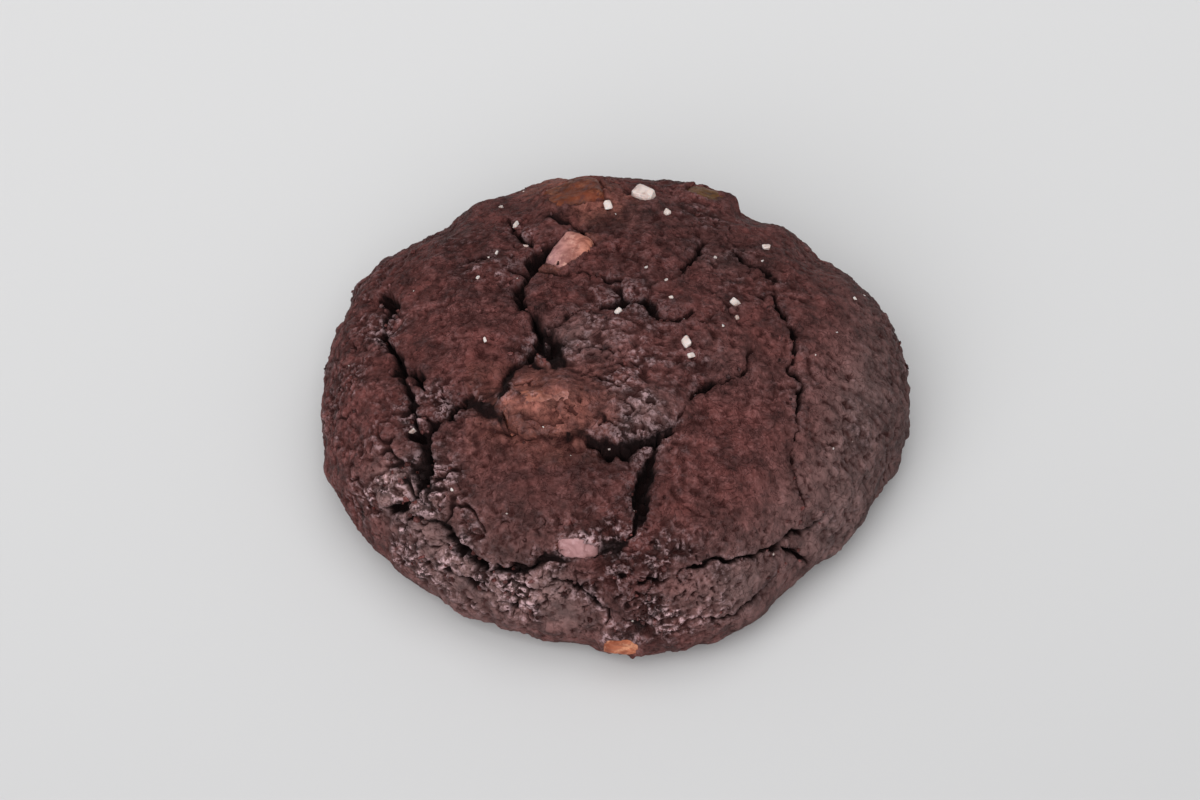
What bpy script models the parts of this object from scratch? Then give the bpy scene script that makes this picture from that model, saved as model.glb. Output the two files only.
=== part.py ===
"""Salted brownie cookie at its real size.

Metres, +Z up. The origin is under the middle of the cookie, on the surface that it rests on.
The front of the cookie faces -Y.

The body is a domed round of dough with a flat underside. It is cracked into plates, craggy round
the rim, and holds chunks of milk chocolate, each a piece of its own in its own socket. Flakes of
coarse salt are fused to the crust.
"""

import math
import random
from itertools import pairwise, product

import bmesh
import bpy
import numpy as np
from mathutils import Matrix, Vector, noise

MM = 0.001

# Body
MEAN_RADIUS = 40.2 * MM
HEIGHT = 25.8 * MM
WAIST = 7.5 * MM  # height of the widest ring
UNDERCUT = 12.0 * MM  # how far the lower curve would reach if the tray did not cut it flat
DOME_POWER = 2.3  # 2 is an ellipse, more is boxier
FOOT_POWER = 2.5
FLAT_TO = 0.15 * MM  # what is lower than this is part of the flat underside
OUTLINE = (  # swells (+) and flats (-) of the outline: degrees, mm, degrees of spread
    (20, 0.2, 22),
    (47, -1.6, 14),
    (88, 0.8, 20),
    (128, -0.4, 12),
    (150, 2.4, 18),
    (232, -3.2, 26),
    (270, -2.0, 22),
    (315, -3.6, 22),
    (343, -2.8, 14),
)

# Everything on the crust is placed as it is seen from the front, looking down this steeply, in mm
# across from the middle and up from the middle of the underside.
LOOK_DOWN = math.radians(50)

LUMPS = (  # across, up, mm high, mm of spread
    (0.5, 8.5, 1.7, 6.0),
    (-9.5, 7.5, 0.9, 5.0),
    (-1.5, 15.5, 1.0, 8.0),
    (16.0, 15.5, 0.8, 6.0),
    (-21.0, 18.5, 0.8, 9.0),
    (-10.5, -4.0, 0.9, 10.0),
    (15.0, -2.0, 0.9, 9.0),
    (23.0, 31.5, 1.3, 4.0),
    (11.0, 38.0, 1.6, 4.0),
    (-4.5, 38.5, 1.4, 5.0),
    (-19.0, 35.0, 1.2, 4.0),
    (19.0, 35.0, -1.4, 4.0),
    (26.5, 28.5, -1.2, 4.0),
)

CRACKS = (  # chains of (across, up, width) in mm, and how far the left bank stands over the right
    (0.6, ((-4.0, 32.6, 0.8), (-8.9, 31.1, 1.6), (-11.3, 29.2, 3.0), (-13.3, 26.7, 1.8),
           (-13.8, 24.3, 1.1), (-11.3, 19.9, 1.4), (-12.8, 15.5, 1.3), (-15.7, 12.1, 1.0),
           (-16.2, 9.2, 1.8), (-14.8, 5.2, 1.2))),
    (0.2, ((-16.2, 9.2, 1.6), (-20.6, 9.2, 1.5), (-24.0, 7.2, 1.4), (-27.5, 4.3, 1.2))),
    (0.4, ((-33.3, 22.8, 1.4), (-32.3, 20.4, 2.0), (-33.3, 17.5, 1.2), (-30.4, 12.6, 1.4),
           (-28.9, 7.7, 1.3), (-27.5, 2.3, 1.5), (-27.5, -3.1, 1.2), (-29.9, -7.0, 1.3),
           (-29.9, -9.9, 0.7))),
    (1.3, ((-15.2, 5.2, 0.8), (-8.4, 3.8, 0.8), (-4.5, 3.3, 1.2), (-1.6, 1.8, 2.0),
           (1.8, 1.8, 2.0), (4.8, 3.3, 1.4), (8.2, 5.2, 0.9), (12.1, 9.6, 0.9),
           (16.5, 12.1, 1.0), (18.0, 14.0, 0.8))),
    (0.3, ((4.8, 2.3, 1.4), (4.3, -1.1, 1.8), (3.8, -4.0, 2.3), (2.8, -7.0, 1.7),
           (1.8, -9.4, 1.0), (-0.1, -11.4, 1.4), (-1.1, -14.8, 0.9))),
    (0.4, ((19.9, 29.2, 0.8), (21.9, 26.3, 1.2), (22.3, 22.3, 0.9), (24.8, 17.5, 1.5),
           (23.8, 13.6, 0.9), (25.3, 8.7, 1.0), (25.3, 1.8, 0.6))),
    (0.6, ((-25.0, -9.4, 0.8), (-23.1, -12.3, 1.5), (-19.2, -15.3, 1.2), (-12.3, -15.8, 1.1),
           (-6.5, -16.2, 0.9), (-2.6, -20.2, 1.1), (0.9, -22.1, 1.3))),
    (0.6, ((8.7, -14.8, 1.2), (13.6, -13.8, 1.1), (18.9, -12.8, 1.0), (23.8, -10.4, 1.0),
           (29.2, -6.0, 0.7))),
    (0.3, ((-2.6, 21.9, 0.8), (1.4, 22.8, 1.4), (4.8, 20.9, 1.4), (10.1, 20.4, 0.7))),
    (0.3, ((22.8, -15.8, 0.7), (20.4, -19.2, 0.9), (13.1, -22.1, 0.8))),
)
CRACK_DEPTH = 1.9  # in widths
DEEPEST = 4.0 * MM
CRACK_WALL = (0.30, 0.85)  # from the deep middle to the crust, in widths
RAGGED = ((0.9, 4.5), (0.35, 1.6))  # how far and over what length a crack wanders, in mm
SHOULDER = (0.25, 1.4)  # share of the depth by which the banks sag, and over how many mm
BANK = 3.5 * MM  # how far from the crack a bank's lift fades

# Unevenness of the crust: mm high and mm wide
SWELLS = ((0.9, 19), (0.45, 6.5))
CRAG_WIDTH = 7 * MM
CRAG_HEIGHT = (0.2 * MM, 1.2 * MM)  # on top and round the rim
CRAG_BAND = (8 * MM, 19 * MM)  # heights between which the rim's crags give way to the top's
FOOT_FADE = 3 * MM  # height over which the relief starts above the flat underside

# Chunks of chocolate: across, up, mm across x mm along x mm thick, turn and lean in degrees, and
# how much of the thickness stands out of the dough
CHUNKS = {
    "chunk_back": (-6.9, 36.0, (9.5, 7.5, 6.0), 12, 0, 0.22),
    "chunk_right": (12.1, 36.3, (8.0, 5.5, 5.0), -20, 0, 0.14),
    "chunk_crack": (-7.2, 28.6, (5.4, 7.4, 5.0), -34, 8, 0.10),
    "chunk_middle": (-10.9, 6.3, (10.5, 6.6, 6.0), 6, 12, 0.16),
    "chunk_front": (-6.8, -11.7, (6.0, 4.0, 4.4), -4, 14, 0.16),
    "chunk_rim": (0.6, -24.7, (6.4, 4.4, 4.2), 4, 0, 0.22),
}
BLOCK_POWER = 5  # 2 is an egg, more is squarer
CORNER_REACH = (0.82, 1.08)  # least and most, so that no two corners match
SOCKET_GAP = 0.35 * MM
SOCKET_HEADROOM = 5 * MM

# Salt flakes that show from a step away: across, up, mm across
SALT = (
    (3.0, 37.0, 2.5), (-1.6, 35.9, 1.4), (6.7, 35.0, 1.1), (9.5, 16.2, 1.7), (15.8, 22.0, 1.5),
    (16.4, 19.9, 1.0), (0.3, 20.8, 1.1), (7.3, 22.9, 1.0), (-15.1, 33.3, 1.1), (-16.6, 29.1, 0.9),
    (-19.3, 25.6, 1.0), (20.3, 29.9, 1.2), (-18.7, 17.2, 1.0), (10.0, 14.2, 1.1),
    (-28.7, 4.4, 1.1), (29.3, -2.4, 1.0), (32.8, 22.8, 1.0), (-23.4, -4.0, 0.9),
)

FLAKE_CORNER = 0.16  # how far a corner strays, in sizes
FLAKE_SIDES = ((0.7, 0.9), (0.6, 0.8))  # width and thickness, in lengths
FLAKE_RAISED = 0.12  # in sizes, so that a third of the flake is sunk
FLAKE_LEAN = 12

MESH_CUTS = 72  # along each side of the cube that the round body starts from
BODY_FACES = 7000  # left when the even mesh is thinned, mostly on the relief

BROWNIE = ("brownie_crust", (0.080, 0.033, 0.029), 0.78)
MILK_CHOCOLATE = ("milk_chocolate", (0.26, 0.105, 0.065), 0.45)


def material(name, colour, roughness):
    """A plain finish, made once and shared."""
    finish = bpy.data.materials.get(name)
    if finish is None:
        finish = bpy.data.materials.new(name)
        finish.use_nodes = True
        shader = finish.node_tree.nodes["Principled BSDF"]
        shader.inputs["Base Color"].default_value = (*colour, 1)
        shader.inputs["Roughness"].default_value = roughness
        shader.inputs["Metallic"].default_value = 0
    return finish


def rise(amount, start, end):
    """0 before start, 1 after end and smooth between."""
    t = np.clip((amount - start) / (end - start), 0, 1)
    return t * t * (3 - 2 * t)


def fractal(points, size, octaves, seed):
    """Cloudy noise from about -1 to 1, with features of the given size."""
    shift = Vector((seed * 7.3, seed * 3.1, seed * 5.7))
    return np.array([noise.fractal(Vector(p) / size + shift, 1, 2, octaves) for p in points])


def jitter(points, size, seed):
    """A smooth random push at each point, for bending straight lines."""
    return np.column_stack([fractal(points, size, 1, seed + 10 * axis) for axis in range(3)])


def outline_radius(angle):
    """Radius of the widest ring at a plan angle."""
    radius = np.full_like(angle, MEAN_RADIUS)
    for degrees, swell, spread in OUTLINE:
        off = (angle - math.radians(degrees) + math.pi) % math.tau - math.pi
        radius += swell * MM * np.exp(-((off / math.radians(spread)) ** 2))
    return radius


def bare_dough(directions):
    """Where each unit direction meets the plain domed body, before any relief."""
    x, y, z = directions.T
    upper = z > 0
    power = np.where(upper, 2 / DOME_POWER, 2 / FOOT_POWER)
    radius = outline_radius(np.arctan2(y, x)) * np.hypot(x, y) ** power
    tall = np.where(upper, HEIGHT - WAIST, -UNDERCUT)
    height = np.maximum(WAIST + tall * np.abs(z) ** power, 0)
    across = np.maximum(np.hypot(x, y), 1e-9)
    return np.column_stack((radius * x / across, radius * y / across, height))


def seen_from_front(points):
    """Each point's (across, up) as seen along LOOK_DOWN."""
    up = points[:, 1] * math.sin(LOOK_DOWN) + points[:, 2] * math.cos(LOOK_DOWN)
    return np.column_stack((points[:, 0], up))


def place(points, normals, across, up):
    """The point of the crust seen at (across, up), and its outward direction."""
    sight = np.array((0, -math.cos(LOOK_DOWN), math.sin(LOOK_DOWN)))
    miss = np.linalg.norm(seen_from_front(points) - (across * MM, up * MM), axis=1)
    miss[normals @ sight < 0.02] = 1  # round the back
    nearest = int(np.argmin(miss))
    return points[nearest], normals[nearest]


def along_chain(points, normals, chain):
    """For each point, the distance to a chain of (place, width), the width there, and the side:
    +1 left of the chain and -1 right of it."""
    nearest = np.full(len(points), 1.0)
    width = np.zeros(len(points))
    side = np.ones(len(points))
    for (start, start_width), (end, end_width) in pairwise(chain):
        step = end - start
        share = np.clip((points - start) @ step / (step @ step), 0, 1)
        gap = points - start - share[:, None] * step
        distance = np.linalg.norm(gap, axis=1)
        closer = distance < nearest
        nearest[closer] = distance[closer]
        width[closer] = (start_width + share * (end_width - start_width))[closer]
        turn = np.einsum("ij,ij->i", np.cross(step, gap), normals)
        side[closer] = np.sign(turn)[closer]
    return nearest, width, side


def relief(points, normals):
    """How far the crust stands out from the bare dough at each point."""
    out = np.zeros(len(points))
    for seed, (high, wide) in enumerate(SWELLS, start=1):
        out += high * MM * fractal(points, wide * MM, 2, seed)
    for across, up, high, spread in LUMPS:
        peak, _ = place(points, normals, across, up)
        off = np.linalg.norm(points - peak, axis=1)
        out += high * MM * np.exp(-((off / (spread * MM)) ** 2))
    bent = points.copy()
    for seed, (far, over) in enumerate(RAGGED, start=3):
        bent += far * MM * jitter(points, over * MM, seed)
    groove = np.zeros(len(points))
    for lift, chain in CRACKS:
        placed = [(place(points, normals, a, u)[0], w * MM) for a, u, w in chain]
        distance, width, side = along_chain(bent, normals, placed)
        depth = np.minimum(CRACK_DEPTH * width, DEEPEST)
        shoulder = SHOULDER[0] * np.exp(-distance / (SHOULDER[1] * MM))
        opening = 1 - rise(distance, CRACK_WALL[0] * width, CRACK_WALL[1] * width)
        groove = np.maximum(groove, depth * (opening + shoulder * (1 - opening)))
        out += side * 0.5 * lift * MM * np.exp(-distance / BANK)
    on_top = rise(points[:, 2], *CRAG_BAND)
    crags = np.abs(fractal(points, CRAG_WIDTH, 2, 5)) - 0.35  # ridges stand out and hollows sink
    out += (CRAG_HEIGHT[1] + (CRAG_HEIGHT[0] - CRAG_HEIGHT[1]) * on_top) * crags
    return (out - groove) * rise(points[:, 2], 0, FOOT_FADE)


def arrays(bm):
    """A mesh's places and outward directions."""
    bm.normal_update()
    points = np.array([v.co for v in bm.verts])
    return points, np.array([v.normal for v in bm.verts])


def new_object(name, bm, collection, finish):
    mesh = bpy.data.meshes.new(name)
    bm.to_mesh(mesh)
    bm.free()
    mesh.materials.append(finish)
    made = bpy.data.objects.new(name, mesh)
    collection.objects.link(made)
    return made


def apply_modifiers(made):
    """Bakes an object's modifiers into its mesh."""
    shown = made.evaluated_get(bpy.context.evaluated_depsgraph_get())
    baked = bpy.data.meshes.new_from_object(shown)
    made.modifiers.clear()
    made.data = baked


def round_of_dough(cuts):
    """The bare domed body, as an even mesh with no poles."""
    bm = bmesh.new()
    bmesh.ops.create_cube(bm, size=2)
    bmesh.ops.subdivide_edges(bm, edges=bm.edges[:], cuts=cuts - 1, use_grid_fill=True)
    for v in bm.verts:
        v.co = Vector([math.tan(c * math.pi / 4) for c in v.co]).normalized()
    directions = np.array([v.co for v in bm.verts])
    for v, point in zip(bm.verts, bare_dough(directions)):
        v.co = point
    return bm


def baked_body(bare_points, bare_normals, bm, collection):
    """The cracked and craggy body, with faces spent where the relief is."""
    lifts = relief(bare_points, bare_normals)
    for v, normal, lift in zip(bm.verts, bare_normals, lifts):
        v.co += Vector(normal) * lift
        v.co.z = max(v.co.z, 0)
    body = new_object("cookie", bm, collection, material(*BROWNIE))
    fewer = body.modifiers.new("fewer_faces", "DECIMATE")
    fewer.ratio = BODY_FACES / (2 * len(body.data.polygons))
    apply_modifiers(body)
    for v in body.data.vertices:
        if v.co.z < FLAT_TO:
            v.co.z = 0
    return body


def standing_on(point, normal, turn, lean):
    """A frame on the crust: Z outward, X across the cookie, then turned and leant."""
    out = Vector(normal)
    across = (Vector((1, 0, 0)) - out * out.x).normalized()
    frame = Matrix((across, out.cross(across), out)).transposed().to_4x4()
    spin = Matrix.Rotation(math.radians(turn), 4, "Z") @ Matrix.Rotation(math.radians(lean), 4, "X")
    return Matrix.Translation(Vector(point)) @ frame @ spin


def chunk_mesh(size, grow, top, seed):
    """A block of chocolate with blunt edges. grow widens it all round, and top adds height above
    it, for the tool that cuts its socket."""
    draw = random.Random(seed)
    corners = {c: draw.uniform(*CORNER_REACH) for c in product((-1, 1), repeat=3)}
    bm = bmesh.new()
    bmesh.ops.create_icosphere(bm, subdivisions=3, radius=1)
    for v in bm.verts:
        block = v.co / sum(abs(c) ** BLOCK_POWER for c in v.co) ** (1 / BLOCK_POWER)
        near = {c: math.prod((1 + a * b) / 2 for a, b in zip(c, block)) for c in corners}
        pull = sum(near[c] * corners[c] for c in corners) / sum(near.values())
        v.co = Vector([c * pull * s * MM / 2 for c, s in zip(block, size)])
    bm.normal_update()
    for v in bm.verts:
        v.co += v.normal * grow
    for v in bm.verts:
        if v.co.z > 0:
            v.co.z += top
    return bm


def salt_flake(size, seed):
    """One coarse crystal: a small uneven block."""
    draw = random.Random(seed)
    bm = bmesh.new()
    bmesh.ops.create_cube(bm, size=1)
    for v in bm.verts:
        v.co += Vector([draw.uniform(-FLAKE_CORNER, FLAKE_CORNER) for _ in range(3)])
    stretch = (size, *[size * draw.uniform(*side) for side in FLAKE_SIDES])
    for v in bm.verts:
        v.co = Vector([c * s * MM for c, s in zip(v.co, stretch)])
    return bm


def join_all(body, tools, operation, solver):
    """One Boolean with a whole collection, whose objects are then removed."""
    cut = body.modifiers.new("join", "BOOLEAN")
    cut.operation = operation
    cut.operand_type = "COLLECTION"
    cut.collection = tools
    cut.solver = solver
    apply_modifiers(body)
    for tool in tools.objects[:]:
        bpy.data.objects.remove(tool)
    bpy.data.collections.remove(tools)


def new_collection(name):
    made = bpy.data.collections.new(name)
    bpy.context.scene.collection.children.link(made)
    return made


def set_chunks(body, crust, out, collection):
    """Cuts a socket for each chunk and sets the chunk in it, clear all round."""
    sockets = new_collection("sockets")
    for seed, (name, (across, up, size, turn, lean, proud)) in enumerate(CHUNKS.items(), start=11):
        point, normal = place(crust, out, across, up)
        frame = standing_on(point, normal, turn, lean)
        frame = frame @ Matrix.Translation((0, 0, (proud - 0.5) * size[2] * MM))
        chunk = new_object(name, chunk_mesh(size, 0, 0, seed), collection, material(*MILK_CHOCOLATE))
        chunk.matrix_world = frame
        room = chunk_mesh(size, SOCKET_GAP, SOCKET_HEADROOM, seed)
        socket = new_object(name + "_socket", room, sockets, material(*BROWNIE))
        socket.matrix_world = frame
    join_all(body, sockets, "DIFFERENCE", "MANIFOLD")


def scatter_salt(body, crust, out):
    """Fuses the salt flakes to the crust, each sunk by a third."""
    flakes = new_collection("salt")
    for seed, (across, up, size) in enumerate(SALT, start=31):
        point, normal = place(crust, out, across, up)
        flake = new_object(f"salt_{seed}", salt_flake(size, seed), flakes, material(*BROWNIE))
        turn = random.Random(seed).uniform(0, 90)
        raised = Matrix.Translation((0, 0, FLAKE_RAISED * size * MM))
        flake.matrix_world = standing_on(point, normal, turn, FLAKE_LEAN) @ raised
    join_all(body, flakes, "UNION", "MANIFOLD")


def centre_on_origin(objects):
    """Moves the cookie so that the middle of its footprint is the origin."""
    corners = np.array([o.matrix_world @ v.co for o in objects for v in o.data.vertices])
    low, high = corners.min(0), corners.max(0)
    middle = Vector((-(low[0] + high[0]) / 2, -(low[1] + high[1]) / 2, 0))
    for o in objects:
        o.matrix_world = Matrix.Translation(middle) @ o.matrix_world


def main():
    for o in bpy.data.objects[:]:
        bpy.data.objects.remove(o)
    collection = new_collection("salted_brownie_cookie")
    bm = round_of_dough(MESH_CUTS)
    bare_points, bare_normals = arrays(bm)
    body = baked_body(bare_points, bare_normals, bm, collection)
    crust = np.array([v.co for v in body.data.vertices])
    out = np.array([n.vector for n in body.data.vertex_normals])
    bpy.context.view_layer.update()
    set_chunks(body, crust, out, collection)
    scatter_salt(body, crust, out)
    bpy.context.view_layer.update()
    centre_on_origin(collection.objects[:])


main()
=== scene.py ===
import math
import random
from itertools import pairwise

import bmesh
import bpy
import numpy as np
from mathutils import Matrix, Vector, noise
from mathutils.bvhtree import BVHTree


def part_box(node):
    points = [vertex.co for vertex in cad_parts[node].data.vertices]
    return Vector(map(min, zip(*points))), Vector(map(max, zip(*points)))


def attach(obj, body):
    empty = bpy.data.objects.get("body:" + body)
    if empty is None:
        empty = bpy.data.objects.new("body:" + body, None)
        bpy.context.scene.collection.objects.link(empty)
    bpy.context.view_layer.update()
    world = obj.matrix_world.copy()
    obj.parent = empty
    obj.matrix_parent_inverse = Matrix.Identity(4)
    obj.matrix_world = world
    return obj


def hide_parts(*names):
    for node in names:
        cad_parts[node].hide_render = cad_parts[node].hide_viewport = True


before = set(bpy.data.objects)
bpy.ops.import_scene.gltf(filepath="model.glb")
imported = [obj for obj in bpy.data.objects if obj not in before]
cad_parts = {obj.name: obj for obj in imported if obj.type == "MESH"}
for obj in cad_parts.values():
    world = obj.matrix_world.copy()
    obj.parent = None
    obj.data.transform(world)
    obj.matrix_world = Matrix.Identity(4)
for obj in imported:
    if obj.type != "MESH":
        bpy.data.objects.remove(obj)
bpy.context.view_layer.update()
mm = 0.001

# The camera looks down at the front of the cookie through a long lens
camera = {
    "lens": 135,         # mm
    "sensor": 36,        # mm
    "lookDown": math.radians(50),
    "distance": 0.628,   # metres from the place it looks at
    "looksAt": (-0.0021, 0.0050, 0.0042),
    "photo": (1200, 800),
}
sight = np.array((0, math.cos(camera["lookDown"]), -math.sin(camera["lookDown"])))
sightUp = np.array((0, math.sin(camera["lookDown"]), math.cos(camera["lookDown"])))
eye = np.array(camera["looksAt"]) - sight * camera["distance"]

cameraData = bpy.data.cameras.new("camera")
cameraData.lens = camera["lens"]
cameraData.sensor_width = camera["sensor"]
cameraData.clip_start = 0.01
cameraObject = bpy.data.objects.new("camera", cameraData)
cameraObject.location = eye
cameraObject.rotation_euler = (math.pi / 2 - camera["lookDown"], 0, 0)
bpy.context.scene.collection.objects.link(cameraObject)
bpy.context.scene.camera = cameraObject


def photoPixels(points):  # where points land in the 1200 x 800 picture
    offset = points - eye
    scale = camera["lens"] / camera["sensor"] * camera["photo"][0] / (offset @ sight)
    return np.column_stack((camera["photo"][0] / 2 + offset[:, 0] * scale,
                            camera["photo"][1] / 2 - offset @ sightUp * scale))


# Small node helpers
def put(tree, kind, sockets=None, **settings):  # one node, its settings, and its inputs set or linked
    made = tree.nodes.new("ShaderNode" + kind)
    for name, value in settings.items():
        setattr(made, name, value)
    for name, value in (sockets or {}).items():
        if isinstance(value, bpy.types.NodeSocket):
            tree.links.new(value, made.inputs[name])
        else:
            made.inputs[name].default_value = value
    return made


def blendColour(tree, factor, a, b, mode="MIX"):
    mix = put(tree, "Mix", data_type="RGBA", blend_type=mode)
    for index, value in ((0, factor), (6, a), (7, b)):
        if isinstance(value, bpy.types.NodeSocket):
            tree.links.new(value, mix.inputs[index])
        else:
            mix.inputs[index].default_value = value if index == 0 else (*value, 1)
    return mix.outputs[2]


def ramp(tree, factor, *stops):
    made = put(tree, "ValToRGB", {"Fac": factor})
    elements = made.color_ramp.elements
    while len(elements) < len(stops):
        elements.new(0.5)
    for element, (position, value) in zip(elements, stops):
        element.position = position
        element.color = (*value, 1) if isinstance(value, tuple) else (value, value, value, 1)
    return made.outputs["Color"]


def calculate(tree, operation, *values, clamp=False):
    made = put(tree, "Math", operation=operation, use_clamp=clamp)
    for socket, value in zip(made.inputs, values):
        if isinstance(value, bpy.types.NodeSocket):
            tree.links.new(value, socket)
        else:
            socket.default_value = value
    return made.outputs[0]


def times(tree, a, b, clamp=False):
    return calculate(tree, "MULTIPLY", a, b, clamp=clamp)


def noiseNode(tree, where, size, detail=3, roughness=0.6, distortion=0.0):  # size in mm
    return put(tree, "TexNoise", {"Vector": where, "Scale": 1000 / size, "Detail": detail,
                                  "Roughness": roughness, "Distortion": distortion}).outputs["Fac"]


def addBump(tree, shader, height, strength, deep):  # deep in mm
    bump = put(tree, "Bump", {"Height": height, "Strength": strength, "Distance": deep * mm})
    tree.links.new(bump.outputs["Normal"], shader.inputs["Normal"])


def newMaterial(name):
    made = bpy.data.materials.new(name)
    made.use_nodes = True
    tree = made.node_tree
    where = put(tree, "TexCoord").outputs["Object"]
    return made, tree, tree.nodes["Principled BSDF"], where


def newObject(name, bm):
    mesh = bpy.data.meshes.new(name)
    bm.to_mesh(mesh)
    bm.free()
    made = bpy.data.objects.new(name, mesh)
    bpy.context.scene.collection.objects.link(made)
    return made


# Floor and lights
stage = {
    "floorReach": 1.6,                  # metres from its middle to its edge
    "floorNear": (0.525, 0.525, 0.53),  # colour of the floor towards the camera; the blend to the far colour is painted light, darker near and brighter far off
    "floorFar": (0.78, 0.78, 0.785),
    "floorBlend": (-0.11, 0.14),        # metres along Y where the blend starts and ends
    "floorRoughness": 0.85,
    "floorShine": 0.2,
    "ambient": 0.35,                    # strength of the light from all round
    "key": {"at": (-0.22, -0.46, 0.49), "side": 0.70, "watts": 4.3},
    "fill": {"at": (0.25, -0.45, 0.55), "side": 0.60, "watts": 0.9},
    "top": {"at": (0.05, 0.05, 0.68), "side": 0.50, "watts": 1.15},
}


def makeFloor():
    bm = bmesh.new()
    bmesh.ops.create_grid(bm, x_segments=1, y_segments=1, size=stage["floorReach"])
    floor = newObject("floor", bm)
    made, tree, shader, where = newMaterial("paleFloor")
    # painted light: the floor's colour runs from darker near the camera to brighter far off
    near, far = stage["floorBlend"]
    away = put(tree, "MapRange", {"Value": put(tree, "SeparateXYZ", {"Vector": where}).outputs["Y"],
                                  "From Min": near, "From Max": far}).outputs["Result"]
    colour = blendColour(tree, away, stage["floorNear"], stage["floorFar"])
    tree.links.new(colour, shader.inputs["Base Color"])
    shader.inputs["Roughness"].default_value = stage["floorRoughness"]
    shader.inputs["Specular IOR Level"].default_value = stage["floorShine"]
    floor.data.materials.append(made)


def makeLights():
    world = bpy.data.worlds.new("softRoom")
    bpy.context.scene.world = world
    world.use_nodes = True
    sky = world.node_tree.nodes["Background"]
    sky.inputs["Strength"].default_value = stage["ambient"]
    sky.inputs["Color"].default_value = (1, 1, 1, 1)
    for name in ("key", "fill", "top"):
        light = bpy.data.lights.new(name, "AREA")
        light.size = stage[name]["side"]
        light.energy = stage[name]["watts"]
        lamp = bpy.data.objects.new(name, light)
        lamp.location = stage[name]["at"]
        lamp.rotation_euler = (-Vector(stage[name]["at"])).to_track_quat("-Z", "Y").to_euler()
        bpy.context.scene.collection.objects.link(lamp)


makeFloor()
makeLights()
bpy.context.scene.view_settings.view_transform = "Standard"
print("stage and camera ready")


# Dough: a domed round with swells, cracked plates, crags round the rim and fine grain
dough = {
    "radius": 40.2,         # mm
    "height": 25.8,
    "waist": 7.5,           # height of the widest ring
    "undercut": 12.0,       # how far below the waist the foot would reach if nothing cut it flat
    "domePower": 2.3,
    "footPower": 2.5,
    "outline": (  # swells and flats: degrees, mm, degrees of spread
        (17, 0.6, 12), (51, -2.4, 19), (88, 0.8, 20), (131, -0.8, 12), (150, 3.0, 18),
        (180, 0.6, 8), (197, 1.3, 13), (232, -2.1, 23), (270, -1.7, 22), (258, -0.8, 7), (264, -0.7, 3),
        (314, -4.4, 19), (341, -2.9, 13)),
    "swells": ((0.9, 19), (0.38, 6.5)),  # mm high, mm wide
    "rim": (8, 19),         # mm up, from the craggy rim to the smooth top
    # mm high on the rim, mm wide, mm high on top, and how much noise counts as level
    "rimCrags": {"high": 0.6, "wide": 7, "onTop": 0.2, "level": 0.35},
    "resting": 3,           # mm up to which the relief fades towards the flat underside
    "undersidePits": ((0.7, 3.0, 71), (0.4, 1.3, 72)),  # mm deep, mm wide, seed
    "cubeCuts": 30,
    "doublings": 3,
    "triangles": 190000,
}
# Bulges (+) and hollows (-): photo pixel, mm high, mm of spread
lumps = (
    (540, 408, 2.0, 5.2), (592, 408, 1.2, 4.5), (640, 411, 1.7, 5.0), (668, 404, 0.8, 4.0),
    (608, 350, 0.9, 8.0), (734, 350, 0.8, 6.0),
    (468, 329, 0.8, 9.0), (545, 490, 0.9, 10.0), (727, 476, 0.9, 9.0), (783, 234, 1.3, 4.0),
    (699, 188, 1.6, 4.0), (587, 185, 1.4, 5.0), (482, 209, 1.2, 4.0), (756, 211, -0.8, 4.0),
    (812, 255, -1.2, 4.0))
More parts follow.
